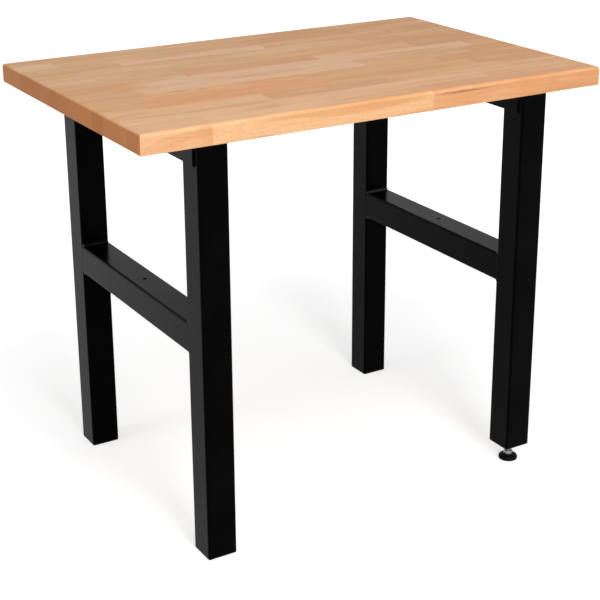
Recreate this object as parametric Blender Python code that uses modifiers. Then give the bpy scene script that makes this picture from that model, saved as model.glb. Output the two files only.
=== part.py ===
"""A workbench: a glued beech top on two welded steel frames.

Each frame has two square-tube legs, a crossbar between them and a folded channel over their
tops, which the top is screwed to from below. Three legs stand on plastic end caps. The right
front leg is shorter, and stands on a levelling foot that screws in and out of its end.

X runs along the bench, Y from front to back and Z up. The origin is on the floor, under the
middle of the top. All sizes are in metres.
"""

import math

import bmesh
import bpy
from mathutils import Matrix, Vector

# Clearance between two pieces that touch on the real bench
FIT = 0.0003

# How far a cutter passes beyond what it cuts
CUTTER_REACH = 0.010

# The glued top
TOP_LENGTH = 1.000
TOP_DEPTH = 0.650
TOP_THICKNESS = 0.038
TOP_EDGE_RADIUS = 0.007
TOP_ARRIS_RADIUS = 0.003
BENCH_HEIGHT = 0.850
STAVE_COUNT = 13

# How far the top stands out beyond the frames
END_OVERHANG = 0.115
EDGE_OVERHANG = 0.022

# The two steel frames, whose legs and crossbars are cut from one size of square tube
TUBE_SIZE = 0.060
TUBE_WALL = 0.002
TUBE_CORNER_RADIUS = 0.004
CROSSBAR_BOTTOM = 0.405
CROSSBAR_HOLE_RADIUS = 0.0045

# The folded channel over each pair of legs
CHANNEL_WALL = 0.004
CHANNEL_HEIGHT = 0.040
CHANNEL_BEND_RADIUS = 0.005
CHANNEL_END_SETBACK = 0.012

# The coach screws that hold the top, and their washers
SCREW_STAVE_STEP = 4
SCREW_RADIUS = 0.004
SCREW_LENGTH = 0.030
SCREW_POINT_LENGTH = 0.006
SCREW_HEAD_ACROSS_FLATS = 0.013
SCREW_HEAD_HEIGHT = 0.0055
WASHER_RADIUS = 0.012
WASHER_THICKNESS = 0.002
SCREW_HOLE_CLEARANCE = 0.0005
SLOT_TRAVEL = 0.010

# The plastic plug in the end of each leg
CAP_FLANGE = 0.0045
CAP_EDGE_RADIUS = 0.0035
PLUG_CORNER_RADIUS = 0.0008
PLUG_DEPTH = 0.024
PLUG_CORE_INSET = 0.0025
PLUG_WALL = 0.0025
PLUG_FIN_COUNT = 3
PLUG_FIN_THICKNESS = 0.002

# The levelling foot under the right front leg
FOOT_EXTENSION = 0.037
FOOT_BOSS_RADIUS = 0.0125
FOOT_BUSH_RADIUS = 0.008
FOOT_BUSH_LENGTH = 0.018
STEM_RADIUS = 0.005
STEM_LENGTH = 0.063
STEM_NECK_RADIUS = 0.0035
STEM_TIP_CHAMFER = 0.001
STEM_HEX_ACROSS_FLATS = 0.017
STEM_HEX_HEIGHT = 0.008
STEM_BALL_RADIUS = 0.005
LOCK_NUT_ACROSS_FLATS = 0.017
LOCK_NUT_HEIGHT = 0.006
PAD_RADIUS = 0.020
PAD_RIM_HEIGHT = 0.0055
PAD_UNDERSIDE_CHAMFER = 0.0008
PAD_CROWN_RADIUS = 0.010
PAD_HEIGHT = 0.0105
PAD_FLOOR = 0.0012

# Facets
ROUND_STEPS = 32
SMALL_ROUND_STEPS = 20
HEX_SIDES = 6
CORNER_STEPS = 3
TOP_EDGE_STEPS = 5
ARC_STEPS = 5
BALL_STEPS = 10
CAP_EDGE_STEPS = 4
MERGE_DISTANCE = 0.00001
SMOOTH_ANGLE = math.radians(35)
EMPTY_SIZE = 0.05

FRAME_SPAN = TOP_LENGTH - 2 * END_OVERHANG
FRAME_DEPTH = TOP_DEPTH - 2 * EDGE_OVERHANG
TOP_UNDERSIDE = BENCH_HEIGHT - TOP_THICKNESS
CHANNEL_TOP = TOP_UNDERSIDE - FIT
WEB_UNDERSIDE = CHANNEL_TOP - CHANNEL_WALL
LEG_TOP = CHANNEL_TOP - CHANNEL_BEND_RADIUS
CHANNEL_WIDTH = TUBE_SIZE + 2 * (CHANNEL_WALL + FIT)
FRAME_X = (FRAME_SPAN - TUBE_SIZE) / 2
LEG_Y = (FRAME_DEPTH - TUBE_SIZE) / 2
STAVE_PITCH = (TOP_DEPTH + FIT) / STAVE_COUNT
SCREW_PITCH = SCREW_STAVE_STEP * STAVE_PITCH
SIDES = {"left": -1, "right": 1}
ENDS = {"front": -1, "back": 1}
UPRIGHT_ENDS = ((0, 0, 1), (0, 0, -1))
LEVEL_ENDS = ((0, 1, 0), (0, -1, 0))


def srgb(red, green, blue):
    """The linear colour of an 8-bit screen colour."""
    channels = []
    for value in (red, green, blue):
        share = value / 255
        linear = share / 12.92 if share <= 0.04045 else ((share + 0.055) / 1.055) ** 2.4
        channels.append(linear)
    return (*channels, 1.0)


def make_material(name, colour, roughness, metallic):
    material = bpy.data.materials.new(name)
    material.use_nodes = True
    shader = material.node_tree.nodes["Principled BSDF"]
    shader.inputs["Base Color"].default_value = colour
    shader.inputs["Roughness"].default_value = roughness
    shader.inputs["Metallic"].default_value = metallic
    material.diffuse_color = colour
    return material


def clear_scene():
    for obj in list(bpy.data.objects):
        bpy.data.objects.remove(obj)


def make_collection(name):
    collection = bpy.data.collections.new(name)
    bpy.context.scene.collection.children.link(collection)
    return collection


def add_object(name, data, collection, material=None, parent=None, location=(0, 0, 0)):
    obj = bpy.data.objects.new(name, data)
    collection.objects.link(obj)
    obj.location = location
    obj.parent = parent
    if material is not None:
        data.materials.append(material)
    return obj


def add_empty(name, location, parent=None):
    empty = add_object(name, None, PARTS, parent=parent, location=location)
    empty.empty_display_size = EMPTY_SIZE
    return empty


def as_helper(obj):
    """Marks an object as one that only shapes another."""
    obj.hide_render = True
    obj.display_type = "WIRE"
    return obj


def mesh_from(name, bm):
    mesh = bpy.data.meshes.new(name)
    bm.to_mesh(mesh)
    bm.free()
    return mesh


def cube_bmesh(size):
    """A box about the origin, still open for editing."""
    bm = bmesh.new()
    bmesh.ops.create_cube(bm, size=1.0, matrix=Matrix.Diagonal((*size, 1.0)))
    return bm


def prism_mesh(name, radius, bottom, top, steps):
    """An upright prism or cylinder with its axis on Z."""
    bm = bmesh.new()
    middle = Matrix.Translation((0, 0, (bottom + top) / 2))
    bmesh.ops.create_cone(
        bm,
        cap_ends=True,
        segments=steps,
        radius1=radius,
        radius2=radius,
        depth=top - bottom,
        matrix=middle,
    )
    return mesh_from(name, bm)


def hex_mesh(name, across_flats, bottom, top):
    corner_radius = across_flats / 2 / math.cos(math.pi / HEX_SIDES)
    return prism_mesh(name, corner_radius, bottom, top, HEX_SIDES)


def profile_mesh(name, points):
    """A chain of edges in the XZ plane, from (radius, height) pairs."""
    bm = bmesh.new()
    verts = [bm.verts.new((radius, 0, height)) for radius, height in points]
    for first, second in zip(verts, verts[1:]):
        bm.edges.new((first, second))
    return mesh_from(name, bm)


def ring_profile(inner, outer, bottom, top):
    """Half the outline of a plain ring."""
    return ((inner, bottom), (inner, top), (outer, top), (outer, bottom), (inner, bottom))


def turn(obj, steps=ROUND_STEPS):
    """Turns a profile about its Z axis into a solid."""
    screw = obj.modifiers.new("turn", "SCREW")
    screw.axis = "Z"
    screw.steps = steps
    screw.render_steps = steps
    screw.use_merge_vertices = True
    screw.merge_threshold = MERGE_DISTANCE
    return obj


def arc(centre, radius, start, end, steps=ARC_STEPS):
    """Points on an arc in a (radius, height) profile; angles are in degrees from outwards."""
    points = []
    for step in range(steps + 1):
        angle = math.radians(start + (end - start) * step / steps)
        points.append(
            (centre[0] + radius * math.cos(angle), centre[1] + radius * math.sin(angle))
        )
    return points


def use_boolean(target, other, operation="DIFFERENCE"):
    boolean = target.modifiers.new(other.name, "BOOLEAN")
    boolean.operation = operation
    boolean.object = other


def add_bevel(obj, width, steps=CORNER_STEPS, limit="ANGLE"):
    bevel = obj.modifiers.new("bevel", "BEVEL")
    bevel.width = width
    bevel.segments = steps
    bevel.limit_method = limit


def add_wall(obj, thickness):
    """Thickens an open surface inwards."""
    solidify = obj.modifiers.new("wall", "SOLIDIFY")
    solidify.thickness = thickness
    solidify.offset = -1.0
    solidify.use_even_offset = True


def open_box(name, size, open_sides):
    """The surface of a box without the faces whose outward normals are listed."""
    bm = cube_bmesh(size)
    bm.normal_update()
    gone = [face for face in bm.faces if tuple(map(round, face.normal)) in open_sides]
    bmesh.ops.delete(bm, geom=gone, context="FACES")
    return mesh_from(name, bm)


def square_tube(name, size, open_sides, material, parent, location):
    """A square tube with rounded corners and two open ends."""
    mesh = open_box(name, size, open_sides)
    tube = add_object(name, mesh, PARTS, material, parent, location)
    add_bevel(tube, TUBE_CORNER_RADIUS)
    add_wall(tube, TUBE_WALL)
    return tube


def square_ring(half, corner_radius):
    """Corner-rounded square outline, anticlockwise from its -X side."""
    centre = half - corner_radius
    points = []
    for quarter in range(4):
        turn_by = math.pi / 2 * quarter
        middle = Vector((-centre, -centre)) @ Matrix.Rotation(-turn_by, 2)
        for step in range(CORNER_STEPS + 1):
            angle = math.pi + turn_by + math.pi / 2 * step / CORNER_STEPS
            offset = Vector((math.cos(angle), math.sin(angle))) * corner_radius
            points.append(middle + offset)
    return points


def square_loft(name, levels):
    """A solid through square outlines, from (half width, corner radius, height) levels."""
    bm = bmesh.new()
    rings = []
    for half, corner_radius, height in levels:
        ring = square_ring(half, corner_radius)
        rings.append([bm.verts.new((point.x, point.y, height)) for point in ring])
    for below, above in zip(rings, rings[1:]):
        for i, vert in enumerate(below):
            j = (i + 1) % len(below)
            bm.faces.new((vert, below[j], above[j], above[i]))
    bm.faces.new(reversed(rings[0]))
    bm.faces.new(rings[-1])
    return mesh_from(name, bm)


def stave_bounds(index):
    """The front and back of a stave, counted from the front."""
    front = -TOP_DEPTH / 2 + index * STAVE_PITCH
    return front, front + STAVE_PITCH - FIT


def stave_mesh(name, front, back):
    """A stave whose edges on the outside of the top are marked to be rounded, the upper ones most."""
    bm = cube_bmesh((TOP_LENGTH, back - front, TOP_THICKNESS))
    weights = bm.edges.layers.float.new("bevel_weight_edge")
    middle_y = (front + back) / 2
    near = FIT / 2
    for edge in bm.edges:
        one, two = (vert.co.y + middle_y for vert in edge.verts)
        across = abs(one - two) > near
        outside = min(abs(one), abs(two)) > TOP_DEPTH / 2 - near
        upper = min(vert.co.z for vert in edge.verts) > 0
        share = 1.0 if upper else TOP_ARRIS_RADIUS / TOP_EDGE_RADIUS
        edge[weights] = share if across or outside else 0.0
    return mesh_from(name, bm)


def add_top():
    """The staves of the glued top, side by side from front to back."""
    staves = []
    for index in range(STAVE_COUNT):
        name = f"stave_{index + 1:02d}"
        front, back = stave_bounds(index)
        place = (0, (front + back) / 2, BENCH_HEIGHT - TOP_THICKNESS / 2)
        stave = add_object(name, stave_mesh(name, front, back), PARTS, BEECH, location=place)
        add_bevel(stave, TOP_EDGE_RADIUS, steps=TOP_EDGE_STEPS, limit="WEIGHT")
        staves.append(stave)
    return staves


def add_channel(side, frame):
    """The folded channel: an open box with its web up and a hole for each screw."""
    length = FRAME_DEPTH - 2 * CHANNEL_END_SETBACK
    name = f"{side}_top_channel"
    size = (CHANNEL_WIDTH, length, CHANNEL_HEIGHT)
    mesh = open_box(name, size, ((0, 0, -1), *LEVEL_ENDS))
    middle = CHANNEL_TOP - CHANNEL_HEIGHT / 2
    channel = add_object(name, mesh, PARTS, BLACK_STEEL, frame, (0, 0, middle))
    add_bevel(channel, CHANNEL_BEND_RADIUS)
    add_wall(channel, CHANNEL_WALL)
    for place, y in screw_places():
        travel = 0 if y == 0 else SLOT_TRAVEL
        radius = SCREW_RADIUS + SCREW_HOLE_CLEARANCE
        cutter = slot_cutter(f"{side}_channel_hole_{place}", radius, travel, frame, y)
        use_boolean(channel, cutter)


def slot_cutter(name, radius, travel, frame, y):
    """A slot along Y that lets the wood swell and shrink; without travel it is a round hole."""
    bm = bmesh.new()
    half_step = Matrix.Rotation(math.pi / SMALL_ROUND_STEPS, 4, "Z")
    bmesh.ops.create_cone(
        bm,
        cap_ends=True,
        segments=SMALL_ROUND_STEPS,
        radius1=radius,
        radius2=radius,
        depth=CHANNEL_WALL + 2 * CUTTER_REACH,
        matrix=half_step,
    )
    for vert in bm.verts:
        vert.co.y += math.copysign(travel / 2, vert.co.y)
    height = CHANNEL_TOP - CHANNEL_WALL / 2
    return as_helper(add_object(name, mesh_from(name, bm), CUTTERS, None, frame, (0, y, height)))


def screw_places():
    """Where the screws are along a channel: name and Y."""
    return (("front", -SCREW_PITCH), ("middle", 0), ("back", SCREW_PITCH))


def screw_profile(radius, seat, length, point_length):
    """Half the outline of a screw's shank, from its point down to its seat."""
    return (
        (0, seat + length),
        (radius, seat + length - point_length),
        (radius, seat),
        (0, seat),
    )


def add_screws(side, frame, staves):
    """The washers and coach screws of one channel, and their holes in the staves."""
    washer_top = WEB_UNDERSIDE - FIT
    washer_bottom = washer_top - WASHER_THICKNESS
    seat = washer_bottom - FIT
    for place, y in screw_places():
        washer_name = f"{side}_washer_{place}"
        outline = ring_profile(
            SCREW_RADIUS + SCREW_HOLE_CLEARANCE, WASHER_RADIUS, washer_bottom, washer_top
        )
        washer_mesh = profile_mesh(washer_name, outline)
        washer = add_object(washer_name, washer_mesh, PARTS, ZINC, frame, (0, y, 0))
        turn(washer, SMALL_ROUND_STEPS)
        name = f"{side}_top_screw_{place}"
        head = hex_mesh(name, SCREW_HEAD_ACROSS_FLATS, seat - SCREW_HEAD_HEIGHT, seat)
        screw = add_object(name, head, PARTS, ZINC, frame, (0, y, 0))
        overlap = SCREW_HEAD_HEIGHT / 2
        shank = screw_profile(
            SCREW_RADIUS, seat - overlap, SCREW_LENGTH + overlap, SCREW_POINT_LENGTH
        )
        shank_name = f"{name}_shank"
        shank_mesh = profile_mesh(shank_name, shank)
        shank_tool = add_object(shank_name, shank_mesh, CUTTERS, None, frame, (0, y, 0))
        use_boolean(screw, turn(as_helper(shank_tool), SMALL_ROUND_STEPS), "UNION")
        pilot = screw_profile(
            SCREW_RADIUS + FIT, seat, SCREW_LENGTH + 2 * FIT, SCREW_POINT_LENGTH
        )
        pilot_name = f"{name}_pilot"
        pilot_mesh = profile_mesh(pilot_name, pilot)
        pilot_tool = add_object(pilot_name, pilot_mesh, CUTTERS, None, frame, (0, y, 0))
        turn(as_helper(pilot_tool), SMALL_ROUND_STEPS)
        for index, stave in enumerate(staves):
            front, back = stave_bounds(index)
            reach = SCREW_RADIUS + 2 * FIT
            if front - reach < y < back + reach:
                use_boolean(stave, pilot_tool)


def cap_levels():
    """The outlines of a finned plug under a flange that ends flush with the leg's faces."""
    half = TUBE_SIZE / 2
    bore_half = half - TUBE_WALL - FIT
    core_half = bore_half - PLUG_CORE_INSET
    inner_half = core_half - PLUG_WALL

    def corner(width):
        return max(TUBE_CORNER_RADIUS - (half - width), PLUG_CORNER_RADIUS)

    levels = []
    edge_centre = (half - CAP_EDGE_RADIUS, CAP_EDGE_RADIUS)
    for radius, height in arc(edge_centre, CAP_EDGE_RADIUS, -90, 0, CAP_EDGE_STEPS):
        levels.append((radius, corner(radius), height))
    levels.append((half, corner(half), CAP_FLANGE))
    levels.append((core_half, corner(core_half), CAP_FLANGE))
    fin_pitch = (PLUG_DEPTH - PLUG_FIN_THICKNESS) / PLUG_FIN_COUNT
    for fin in range(PLUG_FIN_COUNT):
        fin_top = CAP_FLANGE + (fin + 1) * fin_pitch
        fin_bottom = fin_top - PLUG_FIN_THICKNESS
        levels.append((core_half, corner(core_half), fin_bottom))
        levels.append((bore_half, corner(bore_half), fin_bottom))
        levels.append((core_half, corner(core_half), fin_top))
    levels.append((core_half, corner(core_half), CAP_FLANGE + PLUG_DEPTH))
    levels.append((inner_half, corner(inner_half), CAP_FLANGE + PLUG_DEPTH))
    levels.append((inner_half, corner(inner_half), CAP_FLANGE))
    return levels


def add_cap(name, leg):
    """The plug at the bottom of a leg."""
    return add_object(name, square_loft(name, cap_levels()), PARTS, BLACK_PLASTIC, leg)


def add_frame(side):
    """One welded frame: two legs, a crossbar between them and the channel over their tops."""
    frame = add_empty(f"{side}_frame", (SIDES[side] * FRAME_X, 0, 0))
    feet = {}
    for end, sign in ENDS.items():
        raised = FOOT_EXTENSION if (side, end) == ("right", "front") else 0
        foot = add_empty(f"{side}_{end}_leg_end", (0, sign * LEG_Y, raised), frame)
        leg_bottom = CAP_FLANGE + FIT
        length = LEG_TOP - raised - leg_bottom
        size = (TUBE_SIZE, TUBE_SIZE, length)
        place = (0, 0, leg_bottom + length / 2)
        square_tube(f"{side}_{end}_leg", size, UPRIGHT_ENDS, BLACK_STEEL, foot, place)
        feet[end] = foot
    bar_length = FRAME_DEPTH - 2 * (TUBE_SIZE + FIT)
    bar_size = (TUBE_SIZE, bar_length, TUBE_SIZE)
    bar_place = (0, 0, CROSSBAR_BOTTOM + TUBE_SIZE / 2)
    bar = square_tube(f"{side}_crossbar", bar_size, LEVEL_ENDS, BLACK_STEEL, frame, bar_place)
    hole_name = f"{side}_crossbar_hole"
    reach = TUBE_SIZE / 2 + CUTTER_REACH
    hole = prism_mesh(hole_name, CROSSBAR_HOLE_RADIUS, -reach, reach, SMALL_ROUND_STEPS)
    use_boolean(bar, as_helper(add_object(hole_name, hole, CUTTERS, None, frame, bar_place)))
    add_channel(side, frame)
    return frame, feet


def add_foot_socket(leg_end):
    """The plug of the short leg, with a boss that holds a threaded steel bush."""
    socket = add_cap("foot_socket", leg_end)
    boss_top = CAP_FLANGE + FOOT_BUSH_LENGTH
    boss = prism_mesh("boss", FOOT_BOSS_RADIUS, CAP_FLANGE / 2, boss_top, ROUND_STEPS)
    boss_tool = as_helper(add_object("foot_socket_boss", boss, CUTTERS, None, leg_end))
    use_boolean(socket, boss_tool, "UNION")
    bore_top = boss_top + CUTTER_REACH
    bore = prism_mesh("bore", FOOT_BUSH_RADIUS + FIT, -CUTTER_REACH, bore_top, ROUND_STEPS)
    bore_tool = as_helper(add_object("foot_socket_bore", bore, CUTTERS, None, leg_end))
    use_boolean(socket, bore_tool)
    outline = ring_profile(STEM_RADIUS + FIT, FOOT_BUSH_RADIUS, 0, boss_top)
    bush = profile_mesh("foot_bush", outline)
    turn(add_object("foot_bush", bush, PARTS, ZINC, leg_end))


def add_lock_nut(axis):
    """The hexagon nut that locks the stem against the end of the leg."""
    top = FOOT_EXTENSION - FIT
    bottom = top - LOCK_NUT_HEIGHT
    body = hex_mesh("foot_lock_nut", LOCK_NUT_ACROSS_FLATS, bottom, top)
    nut = add_object("foot_lock_nut", body, PARTS, ZINC, axis)
    ends = (bottom - CUTTER_REACH, top + CUTTER_REACH)
    bore = prism_mesh("nut_bore", STEM_RADIUS + FIT, *ends, ROUND_STEPS)
    use_boolean(nut, as_helper(add_object("foot_lock_nut_bore", bore, CUTTERS, None, axis)))


def ball_centre():
    return PAD_FLOOR + STEM_BALL_RADIUS + FIT


def add_stem(axis):
    """The spindle: a threaded rod over a hexagon, and a ball that sits in the pad."""
    hex_bottom = PAD_HEIGHT + FIT
    hex_top = hex_bottom + STEM_HEX_HEIGHT
    rod_top = hex_top + STEM_LENGTH
    shoulder = (hex_bottom + hex_top) / 2
    neck_angle = math.degrees(math.acos(STEM_NECK_RADIUS / STEM_BALL_RADIUS))
    profile = [
        (0, rod_top),
        (STEM_RADIUS - STEM_TIP_CHAMFER, rod_top),
        (STEM_RADIUS, rod_top - STEM_TIP_CHAMFER),
        (STEM_RADIUS, shoulder),
        (STEM_NECK_RADIUS, shoulder),
    ]
    ball = arc((0, ball_centre()), STEM_BALL_RADIUS, neck_angle, -90, BALL_STEPS)
    profile += ball[:-1] + [(0, ball[-1][1])]
    stem = turn(add_object("foot_stem", profile_mesh("foot_stem", profile), PARTS, ZINC, axis))
    body = hex_mesh("stem_hex", STEM_HEX_ACROSS_FLATS, hex_bottom, hex_top)
    hexagon = as_helper(add_object("foot_stem_hex", body, CUTTERS, None, axis))
    use_boolean(stem, hexagon, "UNION")


def add_pad(axis):
    """The round pad, whose dome closes over the stem's ball."""
    cup_radius = STEM_BALL_RADIUS + FIT
    mouth = (STEM_BALL_RADIUS + STEM_NECK_RADIUS) / 2
    mouth_angle = math.degrees(math.acos(mouth / cup_radius))
    cup = arc((0, ball_centre()), cup_radius, -90, mouth_angle, BALL_STEPS)
    profile = [(0, cup[0][1])] + cup[1:]
    profile += [(mouth, PAD_HEIGHT)]
    for across, up in arc((0, 0), 1, 90, 0):
        radius = PAD_CROWN_RADIUS + (PAD_RADIUS - PAD_CROWN_RADIUS) * across
        height = PAD_RIM_HEIGHT + (PAD_HEIGHT - PAD_RIM_HEIGHT) * up
        profile.append((radius, height))
    profile += [(PAD_RADIUS, PAD_UNDERSIDE_CHAMFER)]
    profile += [(PAD_RADIUS - PAD_UNDERSIDE_CHAMFER, 0), (0, 0)]
    pad = profile_mesh("foot_pad", profile)
    turn(add_object("foot_pad", pad, PARTS, BLACK_PLASTIC, axis))


def shade_round_pieces():
    """Shades every turned, bent or bored piece smooth between its sharp edges."""
    for obj in PARTS.objects:
        if obj.type == "MESH":
            obj.data.shade_smooth()
            obj.data.set_sharp_from_angle(angle=SMOOTH_ANGLE)


clear_scene()
PARTS = make_collection("workbench")
CUTTERS = make_collection("cutters")
BEECH = make_material("oiled_beech", srgb(214, 170, 130), 0.45, 0.0)
BLACK_STEEL = make_material("black_powder_coat", srgb(24, 24, 26), 0.38, 0.2)
BLACK_PLASTIC = make_material("black_plastic", srgb(18, 18, 19), 0.5, 0.0)
ZINC = make_material("zinc_plate", srgb(186, 190, 194), 0.3, 1.0)

top_staves = add_top()
leg_ends = {}
for side_name in SIDES:
    frame_empty, frame_feet = add_frame(side_name)
    add_screws(side_name, frame_empty, top_staves)
    for end_name, leg_end_empty in frame_feet.items():
        leg_ends[side_name, end_name] = leg_end_empty

short_leg = ("right", "front")
for leg_name, leg_end_empty in leg_ends.items():
    if leg_name != short_leg:
        add_cap(f"{leg_name[0]}_{leg_name[1]}_leg_cap", leg_end_empty)
add_foot_socket(leg_ends[short_leg])

foot_axis = add_empty("levelling_foot", (FRAME_X, -LEG_Y, 0))
add_lock_nut(foot_axis)
add_stem(foot_axis)
add_pad(foot_axis)
shade_round_pieces()
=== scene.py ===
"""The looks of the workbench: an oiled beech top, powder-coated steel and a levelling foot."""

import math
import random

import bmesh
import bpy
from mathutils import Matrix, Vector


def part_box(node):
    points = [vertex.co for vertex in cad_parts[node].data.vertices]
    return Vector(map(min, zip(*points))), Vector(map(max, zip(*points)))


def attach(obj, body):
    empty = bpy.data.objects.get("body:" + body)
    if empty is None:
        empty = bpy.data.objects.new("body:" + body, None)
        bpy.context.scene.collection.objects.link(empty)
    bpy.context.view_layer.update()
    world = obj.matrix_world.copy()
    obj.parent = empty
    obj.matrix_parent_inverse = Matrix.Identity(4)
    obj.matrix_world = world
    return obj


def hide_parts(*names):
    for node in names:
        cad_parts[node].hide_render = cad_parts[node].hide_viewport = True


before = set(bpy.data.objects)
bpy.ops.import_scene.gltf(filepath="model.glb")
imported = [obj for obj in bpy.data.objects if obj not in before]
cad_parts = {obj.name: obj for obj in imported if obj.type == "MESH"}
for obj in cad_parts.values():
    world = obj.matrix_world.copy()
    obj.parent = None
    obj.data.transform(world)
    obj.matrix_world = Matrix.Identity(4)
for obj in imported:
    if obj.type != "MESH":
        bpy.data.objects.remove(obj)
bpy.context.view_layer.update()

# Camera, fitted to the bench's edges in the photograph
CAMERA_PLACE = (-1.4298, -2.3894, 1.4507)
CAMERA_YAW = -31.729
CAMERA_PITCH = -19.215
CAMERA_LENS = 85.167
CAMERA_SENSOR = 36.0
CAMERA_SHIFT = (-20 / 600, -60 / 600)

# The floor: its size and the reach over which its own white grows, outwards from the bench
FLOOR_HALF_SIZE = 14.0
FLOOR_WHITE = 0.62
FLOOR_WHITE_REACH = (0.9, 2.6)
WORLD_DIFFUSE = 0.35

# Each lamp's place, aim, diameter and power in watts
LAMPS = {
    "key": ((-0.5, -3.8, 1.5), (0.0, 0.0, 0.6), 1.6, 122.0),
    "above": ((0.0, -1.0, 2.9), (0.0, 0.0, 0.8), 1.8, 21.0),
    "left": ((-3.2, 0.4, 1.6), (0.0, 0.0, 0.6), 1.4, 23.0),
}

BENCH = "bench"
SIDES = {"left": -1, "right": 1}
ENDS = {"front": -1, "back": 1}

# Facets, and sizes that the boxes of the CAD nodes don't give
ROUND_STEPS = 60
THREAD_PITCH = 0.0015
THREAD_DEPTH_SHARE = 0.61
THREAD_LEVELS = 8
STEM_RADIUS = 0.005
STEM_HEX_ACROSS_FLATS = 0.017
STEM_HEX_HEIGHT = 0.008
BALL_RADIUS = 0.005
BALL_HEIGHT = 0.0065
HEX_FACE_SHARE = 0.95
SCREW_RADIUS = 0.004
SCREW_HEAD_HEIGHT = 0.0055
SCREW_POINT_LENGTH = 0.006
LEAST_CORNER = 0.0002

# Weld beads
TUBE_CORNER = 0.004
RIPPLE_PITCH = 0.0024
BEAD_STEP = 0.0004
BEAD_FACES = 8
BEAD_SINK = 0.0003
BAR_FILLET = 0.0046
BAR_FILLET_ROOT = 0.0012
FILLET_HALF_RUN = 0.0289
FILLET_RUN_OUT = 0.0016
FLUSH_BEAD_LAP = 0.0008
FLUSH_BEAD_WIDTH = 0.0047
FLANGE_FILLET = 0.0036
FLANGE_BEAD_LENGTH = 0.030
CHANNEL_BEAD_ROOT = 0.0008
END_BEAD_DROP = 0.0035
END_BEAD_SIZE = 0.0042
END_BEAD_SHARE = 0.92
CHANNEL_RIPPLE = 0.00028


class Tree:
    """A material's nodes, added with short calls."""

    def __init__(self, name):
        self.material = bpy.data.materials.new(name)
        self.material.use_nodes = True
        self.tree = self.material.node_tree
        self.shader = self.tree.nodes["Principled BSDF"]

    def node(self, kind, inputs=None, **settings):
        made = self.tree.nodes.new(kind)
        for key, value in settings.items():
            setattr(made, key, value)
        for key, value in (inputs or {}).items():
            self.put(value, made.inputs[key])
        return made

    def put(self, value, socket):
        """Links an output to a socket, or writes a plain value into it."""
        if isinstance(value, bpy.types.NodeSocket):
            self.tree.links.new(value, socket)
        else:
            socket.default_value = value

    def coordinates(self, kind="Object"):
        return self.node("ShaderNodeTexCoord").outputs[kind]

    def math(self, operation, *values):
        made = self.node("ShaderNodeMath", operation=operation)
        for value, socket in zip(values, made.inputs):
            self.put(value, socket)
        return made.outputs[0]

    def vector(self, operation, *values):
        made = self.node("ShaderNodeVectorMath", operation=operation)
        for value, socket in zip(values, made.inputs):
            self.put(value, socket)
        return made.outputs[0]

    def split(self, vector):
        return self.node("ShaderNodeSeparateXYZ", {0: vector}).outputs

    def join(self, x, y, z):
        return self.node("ShaderNodeCombineXYZ", {0: x, 1: y, 2: z}).outputs[0]

    def noise(self, vector, scale=1.0, detail=2.0, roughness=0.5, distortion=0.0):
        made = self.node("ShaderNodeTexNoise")
        self.put(vector, made.inputs["Vector"])
        made.inputs["Scale"].default_value = scale
        made.inputs["Detail"].default_value = detail
        made.inputs["Roughness"].default_value = roughness
        made.inputs["Distortion"].default_value = distortion
        return made.outputs["Fac"]

    def ramp(self, factor, *stops, mode="LINEAR"):
        """A colour ramp from (position, colour) stops; a plain number is a grey."""
        made = self.node("ShaderNodeValToRGB", {0: factor})
        made.color_ramp.interpolation = mode
        elements = made.color_ramp.elements
        while len(elements) < len(stops):
            elements.new(0.5)
        for element, (position, colour) in zip(elements, stops):
            element.position = position
            element.color = colour if isinstance(colour, tuple) else (colour,) * 3 + (1.0,)
        return made.outputs[0]

    def span(self, value, low, high, to_low=0.0, to_high=1.0, kind="SMOOTHSTEP"):
        made = self.node("ShaderNodeMapRange", interpolation_type=kind)
        for number, socket in zip((value, low, high, to_low, to_high), made.inputs):
            self.put(number, socket)
        return made.outputs[0]

    def mix(self, factor, one, two, blend="MIX"):
        made = self.node("ShaderNodeMix", data_type="RGBA", blend_type=blend)
        self.put(factor, made.inputs[0])
        self.put(one, made.inputs[6])
        self.put(two, made.inputs[7])
        return made.outputs[2]

    def bump(self, height, distance, strength=1.0):
        made = self.node("ShaderNodeBump")
        made.inputs["Strength"].default_value = strength
        made.inputs["Distance"].default_value = distance
        self.put(height, made.inputs["Height"])
        self.put(made.outputs[0], self.shader.inputs["Normal"])

    def surface(self, **values):
        """Sets the Principled sockets by name, with _ for a space."""
        for key, value in values.items():
            self.put(value, self.shader.inputs[key.replace("_", " ")])
        return self.material


def srgb(red, green, blue):
    """The linear colour of an 8-bit screen colour."""
    channels = []
    for value in (red, green, blue):
        share = value / 255
        linear = share / 12.92 if share <= 0.04045 else ((share + 0.055) / 1.055) ** 2.4
        channels.append(linear)
    return (*channels, 1.0)


# The glued top: its box and its staves
STAVES = [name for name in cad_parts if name.startswith("stave_")]
TOP_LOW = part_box("stave_01")[0]
TOP_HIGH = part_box(f"stave_{len(STAVES):02d}")[1]
TOP_EDGE = 0.007
TOP_ARRIS = 0.003
STAVE_WIDTH = (TOP_HIGH.y - TOP_LOW.y) / len(STAVES)

# Tones of oiled beech
TONES = {
    "straw": srgb(230, 186, 141),
    "peach": srgb(229, 180, 137),
    "salmon": srgb(215, 154, 109),
    "orange": srgb(223, 152, 98),
    "tan": srgb(217, 164, 109),
    "brown": srgb(206, 145, 89),
    "beige": srgb(213, 169, 120),
    "pale": srgb(228, 187, 150),
    "rose": srgb(211, 151, 106),
}

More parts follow.
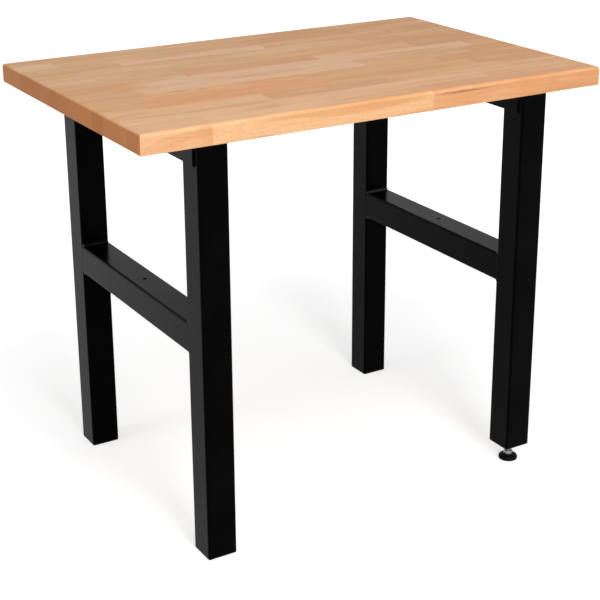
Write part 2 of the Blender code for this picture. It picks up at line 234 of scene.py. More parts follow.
# The boards of each stave from left to right, with the X of the joints between them, front first
BOARDS = (
    ("peach", -0.365, "straw", 0.093, "salmon"),
    ("straw", -0.205, "peach", 0.262, "tan"),
    ("peach", -0.192, "rose", 0.074, "tan", 0.352, "salmon"),
    ("tan", -0.412, "orange", -0.032, "tan", 0.316, "brown"),
    ("tan", -0.388, "orange", -0.052, "tan", 0.261, "brown"),
    ("beige", -0.372, "pale", 0.112, "beige", 0.372, "brown"),
    ("tan", -0.341, "pale", 0.168, "pale", 0.418, "tan"),
    ("beige", -0.238, "rose", 0.061, "tan", 0.305, "brown"),
    ("pale", -0.402, "beige", -0.046, "tan", 0.318, "brown"),
    ("beige", -0.121, "beige", 0.239, "tan"),
    ("beige", -0.304, "pale", 0.024, "tan", 0.341, "brown"),
    ("pale", -0.418, "beige", 0.008, "brown"),
    ("beige", -0.152, "tan", 0.096, "brown"),
)

# Short dark marks in the wood: where they are, and half their length along X and half their width
MARKS = (
    ((-0.310, -0.081, 0.850), 0.026, 0.0030),
    ((-0.262, -0.088, 0.850), 0.012, 0.0030),
    ((-0.229, 0.032, 0.850), 0.006, 0.0024),
    ((-0.157, -0.084, 0.850), 0.024, 0.0030),
    ((-0.056, -0.087, 0.850), 0.010, 0.0026),
    ((0.165, -0.325, 0.8415), 0.085, 0.0016),
)

# Sizes in the wood
RING_WIDTH = 0.0042
RING_WANDER = 0.050
PITH_HEIGHT = 0.70
BOARD_SHIFTS = (9.0, 0.16, 0.10)
GLUE_WIDTH = 0.00040

# Colours that the wood's patterns mix in
OIL = srgb(218, 167, 116)
DARK_CLOUD = srgb(207, 146, 94)
PALE_CLOUD = srgb(228, 184, 138)
DARK_PATCH = srgb(202, 141, 92)
PALE_PATCH = srgb(227, 182, 136)
LATE_WOOD = srgb(190, 128, 84)
DARK_FIBRE = srgb(182, 122, 80)
RAY_TICK = srgb(156, 98, 62)
STREAK = srgb(146, 94, 62)
DARK_MARK = srgb(120, 72, 46)
GLUE = srgb(132, 84, 52)
END_OIL = srgb(212, 162, 115)
END_LATE_WOOD = srgb(140, 86, 54)
END_PORE = srgb(128, 78, 48)


def by_stave(tree, stave, values):
    """A ramp that gives one value for each stave."""
    stops = [(row / len(BOARDS), value) for row, value in enumerate(values)]
    share = tree.math("DIVIDE", tree.math("ADD", stave, 0.5), len(BOARDS))
    return tree.ramp(share, *stops, mode="CONSTANT")


def board_nodes(tree, stave, x):
    """Which board of its stave a point is in: its tone, its number and how far the next joint is."""
    tone = by_stave(tree, stave, [TONES[boards[0]] for boards in BOARDS])
    number, gap = 0.0, 1.0
    for joint in range(3):
        places, tones = [], []
        for boards in BOARDS:
            there = len(boards) > 2 * joint + 1
            places.append(boards[2 * joint + 1] + 0.5 if there else 1.0)
            tones.append(TONES[boards[2 * joint + 2] if there else boards[-1]])
        place = tree.math("SUBTRACT", by_stave(tree, stave, places), 0.5)
        past = tree.math("GREATER_THAN", x, place)
        tone = tree.mix(past, tone, by_stave(tree, stave, tones))
        number = tree.math("ADD", past, number)
        gap = tree.math("MINIMUM", tree.math("ABSOLUTE", tree.math("SUBTRACT", x, place)), gap)
    return tone, number, gap


def beech_material():
    """Oiled beech, as staves of several glued boards each, with end grain at the two ends."""
    tree = Tree("oiled_beech")
    place = tree.coordinates()
    x, y, z = tree.split(place)

    # Which board a point is in, and random numbers for that board
    across = tree.math("DIVIDE", tree.math("SUBTRACT", y, TOP_LOW.y), STAVE_WIDTH)
    stave = tree.math("MAXIMUM", tree.math("FLOOR", across), 0.0)
    stave = tree.math("MINIMUM", stave, len(STAVES) - 1.0)
    base, number, end_gap = board_nodes(tree, stave, x)
    chance = tree.node("ShaderNodeTexWhiteNoise", {"Vector": tree.join(stave, number, 4.5)},
                       noise_dimensions="3D")
    pick, shifts = chance.outputs["Value"], chance.outputs["Color"]

    # Each board is cut from another place in the tree
    centred = tree.vector("SUBTRACT", shifts, (0.5, 0.5, 0.5))
    moved = tree.vector("ADD", place, tree.vector("MULTIPLY", centred, BOARD_SHIFTS))
    mx, my, mz = tree.split(moved)

    def stretched(along, sideways, upright=None):
        """Coordinates for a pattern drawn out along the grain."""
        return tree.join(tree.math("MULTIPLY", mx, along), tree.math("MULTIPLY", my, sideways),
                         tree.math("MULTIPLY", mz, upright or sideways))

    # Growth rings: wide arches on the faces, arcs on the end grain
    wander = tree.noise(stretched(2.2, 13.0), 1.0, 3.0, 0.5)
    wander = tree.math("MULTIPLY", tree.math("SUBTRACT", wander, 0.5), RING_WANDER)
    deep = tree.math("SUBTRACT", mz, PITH_HEIGHT)
    radius = tree.math("SQRT", tree.math("ADD", tree.math("POWER", my, 2.0), tree.math("POWER", deep, 2.0)))
    ring = tree.math("FRACT", tree.math("DIVIDE", tree.math("ADD", radius, wander), RING_WIDTH))
    late = tree.math("MULTIPLY", tree.span(ring, 0.35, 0.90), tree.span(ring, 1.0, 0.92))

    # Fibres, the short dark ticks of beech's rays, soft clouds and a few dark streaks
    fibre = tree.noise(stretched(14.0, 700.0), 1.0, 3.0, 0.6)
    ticks = tree.span(tree.noise(stretched(260.0, 1700.0, 420.0), 1.0, 1.0, 0.5), 0.60, 0.72)
    clouds = tree.noise(stretched(3.2, 24.0), 1.0, 3.0, 0.55, 0.35)
    patches = tree.noise(stretched(7.0, 75.0), 1.0, 3.0, 0.55, 0.25)
    streaks = tree.span(tree.noise(stretched(13.0, 260.0), 1.0, 1.5, 0.5), 0.725, 0.79)

    colour = tree.mix(0.27, base, OIL)
    colour = tree.mix(1.0, colour, tree.ramp(pick, (0.0, 0.965), (1.0, 1.0)), "MULTIPLY")
    for share, tint in (
        (tree.span(clouds, 0.48, 0.66, 0.0, 0.60), DARK_CLOUD),
        (tree.span(clouds, 0.46, 0.30, 0.0, 0.55), PALE_CLOUD),
        (tree.span(patches, 0.53, 0.70, 0.0, 0.42), DARK_PATCH),
        (tree.span(patches, 0.44, 0.30, 0.0, 0.36), PALE_PATCH),
        (tree.math("MULTIPLY", late, 0.15), LATE_WOOD),
        (tree.span(fibre, 0.42, 0.75, 0.0, 0.16), DARK_FIBRE),
        (tree.math("MULTIPLY", ticks, 0.24), RAY_TICK),
        (tree.math("MULTIPLY", streaks, 0.42), STREAK),
    ):
        colour = tree.mix(share, colour, tint)

    # The few dark marks
    ragged = tree.math("MULTIPLY", tree.noise(stretched(160.0, 900.0), 1.0, 2.0, 0.5), 1.1)
    for centre, half_length, half_width in MARKS:
        away = tree.vector("DIVIDE", tree.vector("SUBTRACT", place, centre),
                           (half_length, half_width, 2.0 * half_width))
        span = tree.node("ShaderNodeVectorMath", {0: away}, operation="LENGTH").outputs["Value"]
        share = tree.span(tree.math("ADD", span, ragged), 1.7, 0.5, 0.0, 0.72)
        colour = tree.mix(share, colour, DARK_MARK)

    # End grain drinks more oil and is darker, each board to its own degree
    facing = tree.math("ABSOLUTE", tree.split(tree.coordinates("Normal"))[0])
    end_share = tree.span(facing, 0.55, 0.95)
    end_tone = tree.ramp(
        tree.split(shifts)[1],
        (0.0, srgb(234, 198, 162)),
        (0.22, srgb(244, 212, 178)),
        (0.45, srgb(238, 197, 165)),
        (0.62, srgb(242, 205, 170)),
        (0.80, srgb(238, 204, 175)),
        mode="CONSTANT",
    )
    end_grain = tree.mix(0.72, colour, END_OIL)
    end_grain = tree.mix(1.0, end_grain, end_tone, "MULTIPLY")
    end_grain = tree.mix(tree.math("MULTIPLY", late, 0.38), end_grain, END_LATE_WOOD)
    pores = tree.noise(tree.vector("MULTIPLY", moved, (60.0, 1500.0, 1500.0)), 1.0, 1.0, 0.5)
    end_grain = tree.mix(tree.span(pores, 0.45, 0.70, 0.0, 0.30), end_grain, END_PORE)
    colour = tree.mix(end_share, colour, end_grain)

    # Glue lines between the staves and between the boards
    off_middle = tree.math("ABSOLUTE", tree.math("SUBTRACT", tree.math("FRACT", across), 0.5))
    edge = tree.math("SUBTRACT", 0.5, off_middle)
    gap = tree.math("MINIMUM", tree.math("MULTIPLY", edge, STAVE_WIDTH), end_gap)
    glue = tree.span(gap, 0.0, GLUE_WIDTH, 1.0, 0.0)
    colour = tree.mix(tree.math("MULTIPLY", glue, 0.22), colour, GLUE)

    rough = tree.span(fibre, 0.3, 0.8, 0.42, 0.56)
    rough = tree.math("ADD", rough, tree.math("MULTIPLY", end_share, 0.12))
    height = tree.math("SUBTRACT", tree.math("MULTIPLY", fibre, 0.6), tree.math("ADD", ticks, glue))
    tree.bump(height, 0.00004, 0.6)
    return tree.surface(Base_Color=colour, Roughness=rough, IOR=1.45, Specular_IOR_Level=0.18)


def steel_material(name, level, tint):
    """Satin black powder coat, with its fine orange peel and its own gloss."""
    tree = Tree(name)
    place = tree.coordinates()
    peel = tree.noise(place, 420.0, 2.0, 0.5)
    patches = tree.noise(place, 9.0, 3.0, 0.5)
    specks = tree.span(tree.noise(place, 1400.0, 0.0, 0.5), 0.70, 0.80)
    colour = tree.mix(tree.span(patches, 0.3, 0.7), srgb(2, 2, 2), srgb(4, 4, 4))
    colour = tree.mix(tree.math("MULTIPLY", specks, 0.35), colour, srgb(26, 26, 28))
    tree.bump(peel, 0.00005, 0.4)
    return tree.surface(
        Base_Color=colour, Roughness=tree.span(patches, 0.3, 0.7, 0.20, 0.27), IOR=1.45,
        Specular_IOR_Level=level, Specular_Tint=tint,
    )


def plastic_material():
    """Black moulded plastic with a fine matt grain."""
    tree = Tree("black_plastic")
    place = tree.coordinates()
    grain = tree.noise(place, 2200.0, 2.0, 0.6)
    patches = tree.noise(place, 60.0, 2.0, 0.5)
    colour = tree.mix(tree.span(patches, 0.3, 0.7), srgb(4, 4, 5), srgb(9, 9, 10))
    tree.bump(grain, 0.00003, 0.5)
    return tree.surface(
        Base_Color=colour, Roughness=tree.span(grain, 0.3, 0.7, 0.42, 0.55), IOR=1.45,
        Specular_IOR_Level=0.07,
    )


def zinc_material():
    """Zinc plate, with the faint lines of turning; its grey is darker than bright zinc, partly as painted
    shade.
    """
    tree = Tree("zinc_plate")
    place = tree.coordinates()
    cloud = tree.noise(place, 260.0, 3.0, 0.55)
    lines = tree.noise(tree.vector("MULTIPLY", place, (200.0, 200.0, 9000.0)), 1.0, 1.0, 0.5)
    # Painted shade in part: this grey is lowered below bright zinc so the feet, in the legs' shade, look
    # darker; the rest is the plate's own tone
    colour = tree.mix(tree.span(cloud, 0.3, 0.7), srgb(132, 135, 139), srgb(164, 166, 169))
    tree.bump(lines, 0.00001, 0.4)
    return tree.surface(
        Base_Color=colour, Metallic=1.0, Roughness=tree.span(cloud, 0.3, 0.7, 0.26, 0.40),
    )


BEECH = beech_material()
STEEL = steel_material("black_powder_coat", 0.05, srgb(110, 110, 112))
WELD = steel_material("powder_coat_on_welds", 0.30, srgb(255, 255, 255))
PLASTIC = plastic_material()
ZINC = zinc_material()
SMOOTH_ANGLE = math.radians(32)


def add_piece(name, mesh, material, body, replaced=()):
    """Puts a mesh in the scene as a piece that rides on a CAD body."""
    mesh.materials.clear()
    mesh.materials.append(material)
    mesh.shade_smooth()
    mesh.set_sharp_from_angle(angle=SMOOTH_ANGLE)
    piece = bpy.data.objects.new(name, mesh)
    bpy.context.scene.collection.objects.link(piece)
    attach(piece, body)
    if replaced:
        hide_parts(*replaced)
    return piece


def mesh_from(name, bm):
    bmesh.ops.recalc_face_normals(bm, faces=bm.faces)
    mesh = bpy.data.meshes.new(name)
    bm.to_mesh(mesh)
    bm.free()
    return mesh


def rounded_slab(low, high, upper, arris, steps=8, corner_steps=4):
    """A slab with a large round on its upper edge and a small one on the others, as an open bmesh."""
    levels = []
    for radius, height, start in ((arris, low.z + arris, -90), (upper, high.z - upper, 0)):
        for step in range(steps + 1):
            angle = math.radians(start + 90 * step / steps)
            levels.append((height + radius * math.sin(angle), radius * (1.0 - math.cos(angle))))
    bm = bmesh.new()
    ends = ((high.x, high.y), (low.x, high.y), (low.x, low.y), (high.x, low.y))
    rings = []
    for height, inset in levels:
        corner = max(arris - inset, LEAST_CORNER)
        ring = []
        for turn, (end_x, end_y) in enumerate(ends):
            middle_x = end_x + (inset + corner) * (-1.0 if end_x == high.x else 1.0)
            middle_y = end_y + (inset + corner) * (-1.0 if end_y == high.y else 1.0)
            for step in range(corner_steps + 1):
                angle = math.radians(90 * turn + 90 * step / corner_steps)
                x, y = middle_x + corner * math.cos(angle), middle_y + corner * math.sin(angle)
                ring.append(bm.verts.new((x, y, height)))
        rings.append(ring)
    for one, two in zip(rings, rings[1:]):
        for i in range(len(one)):
            j = (i + 1) % len(one)
            bm.faces.new((one[i], one[j], two[j], two[i]))
    bm.faces.new(reversed(rings[0]))
    bm.faces.new(rings[-1])
    return bm


def weighted(piece):
    """Keeps large faces flat where they meet a rounded edge."""
    normals = piece.modifiers.new("normals", "WEIGHTED_NORMAL")
    normals.keep_sharp = True
    normals.weight = 100
    return piece


def add_top():
    bm = rounded_slab(TOP_LOW, TOP_HIGH, TOP_EDGE, TOP_ARRIS)
    weighted(add_piece("worktop", mesh_from("worktop", bm), BEECH, BENCH, STAVES))


def lathe(name, rings, axis, steps=ROUND_STEPS, closed=False):
    """A turned mesh from (height, radius) rings; a radius may be a list with one number for each step."""
    bm = bmesh.new()
    loops = []
    for height, radius in rings:
        if radius == 0.0:
            loops.append([bm.verts.new((axis.x, axis.y, height))])
            continue
        radii = radius if isinstance(radius, list) else [radius] * steps
        loop = []
        for step, reach in enumerate(radii):
            angle = 2 * math.pi * step / steps
            x, y = axis.x + reach * math.cos(angle), axis.y + reach * math.sin(angle)
            loop.append(bm.verts.new((x, y, height)))
        loops.append(loop)
    pairs = list(zip(loops, loops[1:]))
    if closed:
        pairs.append((loops[-1], loops[0]))
    for one, two in pairs:
        for i in range(steps):
            j = (i + 1) % steps
            corners = []
            for loop, index in ((one, i), (one, j), (two, j), (two, i)):
                vert = loop[index % len(loop)]
                if vert not in corners:
                    corners.append(vert)
            bm.faces.new(corners)
    return mesh_from(name, bm)


def arc(centre, radius, start, end, steps):
    """(height, radius) rings on an arc; angles are in degrees up from straight outwards."""
    rings = []
    for step in range(steps + 1):
        angle = math.radians(start + (end - start) * step / steps)
        rings.append((centre[1] + radius * math.sin(angle), centre[0] + radius * math.cos(angle)))
    return rings


def hex_radii(across_flats, limit, steps=ROUND_STEPS):
    """Radii round a hexagon with two flats across X, cut back to a circle."""
    radii = []
    for step in range(steps):
        off_flat = (360.0 * step / steps + 30.0) % 60.0 - 30.0
        radii.append(min(across_flats / 2 / math.cos(math.radians(off_flat)), limit))
    return radii


def hexagon(low, high, across_flats, low_cut=True, high_cut=True, steps=6):
    """Rings of a hexagon from end to end, an end that is cut being turned to a 30 degree chamfer."""
    face = across_flats / 2 * HEX_FACE_SHARE
    slope = math.tan(math.radians(30))
    depth = (across_flats / 2 / math.cos(math.radians(30)) - face) * slope
    chamfer = [(depth * step / steps, face + depth * step / steps / slope) for step in range(steps + 1)]
    whole = [(0.0, across_flats)]
    levels = [(low + inwards, limit) for inwards, limit in (chamfer if low_cut else whole)]
    levels += [(high - inwards, limit) for inwards, limit in reversed(chamfer if high_cut else whole)]
    return [(height, hex_radii(across_flats, limit)) for height, limit in levels]


def thread_radii(height, outer, steps=ROUND_STEPS):
    """Radii round a right-hand thread at one height."""
    depth = THREAD_DEPTH_SHARE * THREAD_PITCH
    radii = []
    for step in range(steps):
        off_crest = abs((height / THREAD_PITCH - step / steps) % 1.0 - 0.5)
        rise = min(max((0.375 - off_crest) / 0.3125, 0.0), 1.0)
        radii.append(outer - depth * (1.0 - rise))
    return radii


def axis_of(name):
    low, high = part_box(name)
    return (low + high) / 2


def add_pad():
    """The moulded pad: a domed top that closes over the stem's ball, and a hollow underside."""
    low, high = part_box("foot_pad")
    radius, top = (high.x - low.x) / 2, high.z
    cup = arc((0.0, BALL_HEIGHT), BALL_RADIUS + 0.0003, -90, 36, 18)
    rings = [(cup[0][0], 0.0)] + cup[1:]
    # The lip round the ball
    rings += [(top - 0.0004, 0.0044), (top, 0.0048), (top, 0.0082)]
    rings += [(top - 0.0003, 0.0085), (top - 0.0003, 0.0092)]
    # The dome, out to the rim
    dome_start, rim = 0.0099, 0.0058
    dome_width, dome_height = radius - 0.0006 - dome_start, top - 0.0003 - rim
    for step in range(13):
        angle = math.radians(90.0 - 90.0 * step / 12)
        rings.append((rim + dome_height * math.sin(angle), dome_start + dome_width * math.cos(angle)))
    rings += [(0.0056, radius - 0.0005), (0.0052, radius - 0.0001), (0.0046, radius)]
    rings += arc((radius - 0.0012, 0.0012), 0.0012, 0, -90, 5)
    # The hollow underside
    rings += [(0.0, 0.0150), (0.0009, 0.0144), (0.0009, 0.0072), (0.0003, 0.0066), (0.0003, 0.0)]
    mesh = lathe("levelling_pad", rings, axis_of("foot_pad"))
    add_piece("levelling_pad", mesh, PLASTIC, "pad", ["foot_pad"])


def add_stem():
    """The spindle: ball, neck, hexagon and a rod with a real thread."""
    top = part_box("foot_stem")[1].z
    hex_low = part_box("foot_pad")[1].z + 0.0003
    hex_high = hex_low + STEM_HEX_HEIGHT
    ball = arc((0.0, BALL_HEIGHT), BALL_RADIUS, -90, 45.5, 16)
    rings = [(ball[0][0], 0.0)] + ball[1:] + [(hex_low, 0.0035)]
    rings += hexagon(hex_low, hex_high, STEM_HEX_ACROSS_FLATS)
    rings += arc((STEM_RADIUS + 0.0004, hex_high + 0.0004), 0.0004, 270, 180, 3)
    thread_low, thread_high = hex_high + 0.0022, top - 0.0012
    root = STEM_RADIUS - THREAD_DEPTH_SHARE * THREAD_PITCH
    rings += [(thread_low - 0.0008, STEM_RADIUS), (thread_low - 0.0003, root)]
    count = round((thread_high - thread_low) / THREAD_PITCH * THREAD_LEVELS)
    for level in range(count + 1):
        height = thread_low + (thread_high - thread_low) * level / count
        rings.append((height, thread_radii(height, STEM_RADIUS)))
    rings += [(top - 0.0010, root), (top - 0.0002, root - 0.0005), (top, root - 0.0009), (top, 0.0)]
    mesh = lathe("threaded_stem", rings, axis_of("foot_stem"))
    add_piece("threaded_stem", mesh, ZINC, "stem", ["foot_stem"])


def add_lock_nut():
    low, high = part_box("foot_lock_nut")
    bore = STEM_RADIUS + 0.0003
    rings = [(low.z + 0.0007, bore), (low.z, bore + 0.0007)]
    rings += hexagon(low.z, high.z, high.x - low.x)
    rings += [(high.z, bore + 0.0007), (high.z - 0.0007, bore)]
    mesh = lathe("lock_nut", rings, axis_of("foot_lock_nut"), closed=True)
    add_piece("lock_nut", mesh, ZINC, "lock_nut", ["foot_lock_nut"])


def add_screw(name):
    """A coach screw, head down, with a shallow dish in its forged head."""
    low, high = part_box(name)
    seat = low.z + SCREW_HEAD_HEIGHT
    rings = [(low.z + 0.0005, 0.0), (low.z + 0.0005, 0.0028), (low.z, 0.0040)]
    rings += hexagon(low.z, seat, high.x - low.x, high_cut=False)
    rings += [(seat, SCREW_RADIUS), (high.z - SCREW_POINT_LENGTH, SCREW_RADIUS), (high.z, 0.0)]
    add_piece(f"{name}_detail", lathe(f"{name}_detail", rings, axis_of(name)), ZINC, BENCH, [name])


def add_washer(name):
    low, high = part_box(name)
    outer, bore = (high.x - low.x) / 2, SCREW_RADIUS + 0.0005
    rings = [(low.z + 0.0002, bore), (low.z, bore + 0.0002)]
    rings += arc((outer - 0.0006, low.z + 0.0006), 0.0006, -90, 0, 3)
    rings += [(high.z - 0.0001, outer), (high.z, outer - 0.0001), (high.z, bore)]
    mesh = lathe(f"{name}_detail", rings, axis_of(name), closed=True)
    add_piece(f"{name}_detail", mesh, ZINC, BENCH, [name])


def sweep(bm, rings, closed):
    """Skins a row of rings, in a loop or with its two ends closed."""
    loops = [[bm.verts.new(point) for point in ring] for ring in rings]
    for one, two in zip(loops, loops[1:] + (loops[:1] if closed else [])):
        for i in range(len(one)):
            j = (i + 1) % len(one)
            bm.faces.new((one[i], one[j], two[j], two[i]))
    if not closed:
        bm.faces.new(loops[0])
        bm.faces.new(reversed(loops[-1]))


def bead_ring(root, foot_one, foot_two, outwards, bulge, place, ripple):
    """One ring of a weld bead: a bulging face from one foot to the other over a hidden root."""
    ring = [root]
    for step in range(BEAD_FACES + 1):
        share = step / BEAD_FACES
        hump = 4.0 * share * (1.0 - share)
        wave = abs(math.sin(math.pi * (place + 0.30 * hump)))
        height = bulge * hump + ripple * hump ** 0.5 * wave
        ring.append(foot_one.lerp(foot_two, share) + outwards * height)
    return ring


def outline_points(half, corner):
    """Round a square with rounded corners: (x, z, normal x, normal z, length so far)."""
    points, length = [], 0.0
    straight = 2 * (half - corner)
    for quarter in range(4):
        turned = math.pi / 2 * quarter
        normal = Vector((math.sin(turned), math.cos(turned)))
        tangent = Vector((math.cos(turned), -math.sin(turned)))
        steps = round(straight / BEAD_STEP)
        for step in range(steps):
            place = normal * half + tangent * (straight * step / steps - straight / 2)
            points.append((place, normal, length + straight * step / steps))
        length += straight
        quarter_arc = math.pi / 2 * corner
        steps = round(quarter_arc / BEAD_STEP)
        for step in range(steps):
            angle = math.pi / 2 * step / steps
            away = normal * math.cos(angle) + tangent * math.sin(angle)
            place = (normal + tangent) * (half - corner) + away * corner
            points.append((place, away, length + quarter_arc * step / steps))
        length += quarter_arc
    return points, length


def flush_bead(bm, side, end):
    """The weld round a crossbar's end, dressed flush."""
    low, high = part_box(f"{side}_crossbar")
    middle = (low + high) / 2
    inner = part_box(f"{side}_{end}_leg")[ENDS[end] < 0][1]
    along = Vector((0.0, -ENDS[end], 0.0))
    points, length = outline_points((high.z - low.z) / 2, TUBE_CORNER)
    ripples = round(length / RIPPLE_PITCH)
    rings = []
    for place, normal, reached in points:
        away = Vector((normal.x, 0.0, normal.y))
        corner = Vector((middle.x + place.x, inner, middle.z + place.y))
        rings.append(bead_ring(
            corner - away * 0.0015 - along * 0.0005,
            corner + along * FLUSH_BEAD_LAP - away * 0.0002,
            corner + away * 0.0001 - along * FLUSH_BEAD_WIDTH,
            away,
            0.0001,
            ripples * reached / length,
            0.00003,
        ))
    sweep(bm, rings, closed=True)


def bar_fillet(bm, side, end, upwards, rng):
    """The fillet above or below a crossbar's end, out to the tubes' round corners."""
    low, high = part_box(f"{side}_crossbar")
    middle, half = (low + high) / 2, (high.z - low.z) / 2
    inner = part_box(f"{side}_{end}_leg")[ENDS[end] < 0][1]
    along, away = Vector((0.0, -ENDS[end], 0.0)), Vector((0.0, 0.0, upwards))
    sways = [(rng.randint(1, 4), rng.uniform(0.0, 2 * math.pi)) for _ in range(2)]
    steps = round(2 * FILLET_HALF_RUN / BEAD_STEP)
    rings = []
    for step in range(steps + 1):
        share = step / steps
        x = (2.0 * share - 1.0) * FILLET_HALF_RUN
        level = min((FILLET_HALF_RUN - abs(x)) / FILLET_RUN_OUT, 1.0)
        level = (level * (2.0 - level)) ** 0.5
        sway = sum(math.sin(2 * math.pi * count * share + phase) for count, phase in sways) / 2
        past = max(abs(x) - half + TUBE_CORNER, 0.0)
        recess = TUBE_CORNER - math.sqrt(TUBE_CORNER ** 2 - past ** 2)
        size = BAR_FILLET * (0.10 + 0.90 * level) * (1.0 + 0.08 * sway)
        corner = Vector((middle.x + x, inner, middle.z)) + away * (half - recess) - along * recess
        rings.append(bead_ring(
            corner - (away + along) * BAR_FILLET_ROOT,
            corner + along * size - away * BEAD_SINK,
            corner + away * size - along * BEAD_SINK,
            (away + along).normalized(),
            0.0001 + 0.0004 * level,
            2 * FILLET_HALF_RUN * share / RIPPLE_PITCH,
            0.00024 * level,
        ))
    sweep(bm, rings, closed=False)


def flange_bead(bm, side, end, across, rng):
    """A short fillet under the lower edge of the channel, on one face of a leg."""
    leg_low, leg_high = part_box(f"{side}_{end}_leg")
    face = leg_high.x if across > 0 else leg_low.x
    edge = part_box(f"{side}_top_channel")[0].z
    middle = (leg_low.y + leg_high.y) / 2 + rng.uniform(-0.002, 0.002)
    away, down = Vector((across, 0.0, 0.0)), Vector((0.0, 0.0, -1.0))
    steps = round(FLANGE_BEAD_LENGTH / BEAD_STEP)
    rings = []
    for step in range(steps + 1):
        share = step / steps
        swell = max(1.0 - abs(2.0 * share - 1.0) ** 8, 0.0) ** 0.5
        size = FLANGE_FILLET * (0.25 + 0.62 * swell)
        corner = Vector((face, middle + (share - 0.5) * FLANGE_BEAD_LENGTH, edge))
        rings.append(bead_ring(
            corner - (away + down) * CHANNEL_BEAD_ROOT,
            corner + away * size - down * 0.0002,
            corner + down * size - away * BEAD_SINK,
            (away + down).normalized(),
            0.0005 * swell,
            share * FLANGE_BEAD_LENGTH / RIPPLE_PITCH,
            CHANNEL_RIPPLE * swell,
        ))
    sweep(bm, rings, closed=False)


def end_bead(bm, side, end, across, rng):
    """An upright fillet where the channel's flange ends on a face of a leg."""
    leg_low, leg_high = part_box(f"{side}_{end}_leg")
    channel_low, channel_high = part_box(f"{side}_top_channel")
    face = leg_high.x if across > 0 else leg_low.x
    flange_end = channel_low.y if ENDS[end] < 0 else channel_high.y
    low, high = channel_low.z - END_BEAD_DROP, leg_high.z - 0.002
    away, along = Vector((across, 0.0, 0.0)), Vector((0.0, ENDS[end], 0.0))
    shift = rng.uniform(0.0, 1.0)
    steps = round((high - low) / BEAD_STEP)
    rings = []
    for step in range(steps + 1):
        height = low + (high - low) * step / steps
        swell = min((height - low) / (2.5 * END_BEAD_DROP), 1.0)
        swell = (swell * (2.0 - swell)) ** 0.5
        size = END_BEAD_SIZE * (0.12 + 0.88 * swell)
        rise = min(size, END_BEAD_SHARE * (channel_high.x - leg_high.x))
        corner = Vector((face, flange_end, height))
        rings.append(bead_ring(
            corner - (away + along) * CHANNEL_BEAD_ROOT,
            corner + along * size - away * BEAD_SINK,
            corner + away * rise - along * BEAD_SINK,
            (away + along).normalized(),
            0.0006 * swell,
            (height - low) / RIPPLE_PITCH + shift,
            CHANNEL_RIPPLE * swell,
        ))
    sweep(bm, rings, closed=False)


def add_welds():
    """The beads of each frame: the crossbar's fillets as one piece, and the rest as another."""
    for side in SIDES:
        rng = random.Random(f"welds {side}")
        fillets, rest = bmesh.new(), bmesh.new()
        for end in ENDS:
            flush_bead(rest, side, end)
            for sign in (-1, 1):
                bar_fillet(fillets, side, end, sign, rng)
                flange_bead(rest, side, end, sign, rng)
                end_bead(rest, side, end, sign, rng)
        add_piece(f"{side}_bar_fillets", mesh_from(f"{side}_bar_fillets", fillets), WELD, BENCH)
        add_piece(f"{side}_welds", mesh_from(f"{side}_welds", rest), STEEL, BENCH)


def add_fastenings():
    for side in SIDES:
        for place in ("front", "middle", "back"):
            add_screw(f"{side}_top_screw_{place}")
            add_washer(f"{side}_washer_{place}")


def dress_nodes():
    """Gives every CAD node that stays its material."""
    for name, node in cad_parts.items():
        if name.endswith(("_leg", "_crossbar", "_channel")):
            material = STEEL
        elif name.endswith("_cap") or name in ("foot_socket", "foot_pad"):
            material = PLASTIC
        else:
            material = ZINC
        node.data.materials.clear()
        node.data.materials.append(material)


def add_camera():
    data = bpy.data.cameras.new("camera")
    data.lens = CAMERA_LENS
    data.sensor_width = CAMERA_SENSOR
    data.shift_x, data.shift_y = CAMERA_SHIFT
    data.clip_start, data.clip_end = 0.05, 60.0
    camera = bpy.data.objects.new("camera", data)
    bpy.context.scene.collection.objects.link(camera)
    camera.location = CAMERA_PLACE
    camera.rotation_euler = (math.radians(90 + CAMERA_PITCH), 0.0, math.radians(CAMERA_YAW))
    bpy.context.scene.camera = camera


def add_lamp(name, place, aim, size, energy):
    data = bpy.data.lights.new(name, "AREA")
    data.shape = "DISK"
    data.size = size
    data.energy = energy
    lamp = bpy.data.objects.new(name, data)
    bpy.context.scene.collection.objects.link(lamp)
    lamp.location = place
    lamp.rotation_euler = (Vector(aim) - Vector(place)).to_track_quat("-Z", "Y").to_euler()


def background_share(tree):
    """1 for the rays that should see the plain white background."""
    path = tree.nodes.new("ShaderNodeLightPath")
    total = path.outputs["Is Camera Ray"]
    for name in ("Is Glossy Ray", "Is Transmission Ray"):
        most = tree.nodes.new("ShaderNodeMath")
        most.operation = "MAXIMUM"
        tree.links.new(total, most.inputs[0])
        tree.links.new(path.outputs[name], most.inputs[1])
        total = most.outputs[0]
    return total


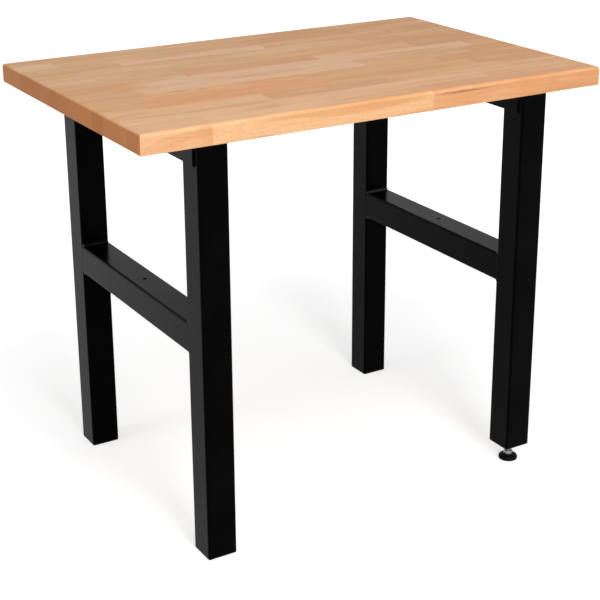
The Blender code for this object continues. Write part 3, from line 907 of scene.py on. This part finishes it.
def add_world(diffuse_strength):
    world = bpy.data.worlds.new("studio")
    bpy.context.scene.world = world
    world.use_nodes = True
    tree = world.node_tree
    backdrop = tree.nodes["Background"]
    backdrop.inputs[0].default_value = (1.0, 1.0, 1.0, 1.0)
    level = tree.nodes.new("ShaderNodeMapRange")
    tree.links.new(background_share(tree), level.inputs["Value"])
    level.inputs["To Min"].default_value = diffuse_strength
    level.inputs["To Max"].default_value = 1.0
    tree.links.new(level.outputs[0], backdrop.inputs[1])


def add_floor():
    bm = bmesh.new()
    bmesh.ops.create_grid(bm, x_segments=2, y_segments=2, size=FLOOR_HALF_SIZE)
    floor = bpy.data.objects.new("floor", mesh_from("floor", bm))
    bpy.context.scene.collection.objects.link(floor)
    material = bpy.data.materials.new("pale_floor")
    material.use_nodes = True
    tree = material.node_tree
    shader = tree.nodes["Principled BSDF"]
    shader.inputs["Base Color"].default_value = srgb(205, 205, 205)
    shader.inputs["Roughness"].default_value = 0.9
    shader.inputs["Specular IOR Level"].default_value = 0.0
    shader.inputs["Emission Color"].default_value = (1.0, 1.0, 1.0, 1.0)
    # Far from the bench the floor gives off more of its white, because the lamps don't reach there
    away = tree.nodes.new("ShaderNodeVectorMath")
    away.operation = "LENGTH"
    tree.links.new(tree.nodes.new("ShaderNodeTexCoord").outputs["Object"], away.inputs[0])
    level = tree.nodes.new("ShaderNodeMapRange")
    tree.links.new(away.outputs["Value"], level.inputs["Value"])
    level.inputs["From Min"].default_value, level.inputs["From Max"].default_value = FLOOR_WHITE_REACH
    level.inputs["To Min"].default_value = FLOOR_WHITE
    level.inputs["To Max"].default_value = 1.0
    share = tree.nodes.new("ShaderNodeMath")
    share.operation = "MULTIPLY"
    tree.links.new(background_share(tree), share.inputs[0])
    tree.links.new(level.outputs[0], share.inputs[1])
    tree.links.new(share.outputs[0], shader.inputs["Emission Strength"])
    floor.data.materials.append(material)


add_top()
dress_nodes()
add_welds()
add_fastenings()
add_pad()
add_stem()
add_lock_nut()
add_camera()
add_floor()
add_world(WORLD_DIFFUSE)
for name, (place, aim, size, energy) in LAMPS.items():
    add_lamp(name, place, aim, size, energy)

scene = bpy.context.scene
scene.view_settings.view_transform = "Standard"
